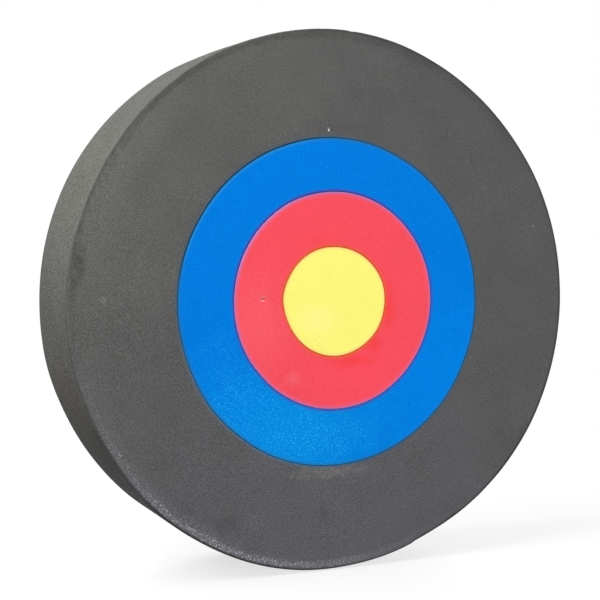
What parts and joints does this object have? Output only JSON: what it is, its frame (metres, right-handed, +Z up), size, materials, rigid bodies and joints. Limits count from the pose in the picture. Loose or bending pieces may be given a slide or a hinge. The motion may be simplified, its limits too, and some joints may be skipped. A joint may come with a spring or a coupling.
{
  "type": "archery target boss",
  "caption": "Round foam archery target boss with a raised rim lip and flush blue, red and yellow scoring zones nested in its shooting face.",
  "frame": {"origin": "under the disc, midway through its thickness, on the surface that the rim stands on", "axes": "+Z up, -Y out of the shooting face, +Y out of the plain back; the disc's own axis runs along Y"},
  "size_m": [0.5996, 0.13, 0.5997],
  "materials": {
    "grey_foam": "closed-cell foam with a fine leathery skin",
    "blue_foam": "closed-cell foam, fine skin with a slight sheen",
    "red_foam": "closed-cell foam, fine skin",
    "yellow_foam": "closed-cell foam, fine skin"
  },
  "bodies": {
    "root": {"foam_block": "grey_foam", "blue_ring": "blue_foam", "red_ring": "red_foam", "yellow_centre": "yellow_foam"}
  },
  "joints": []
}
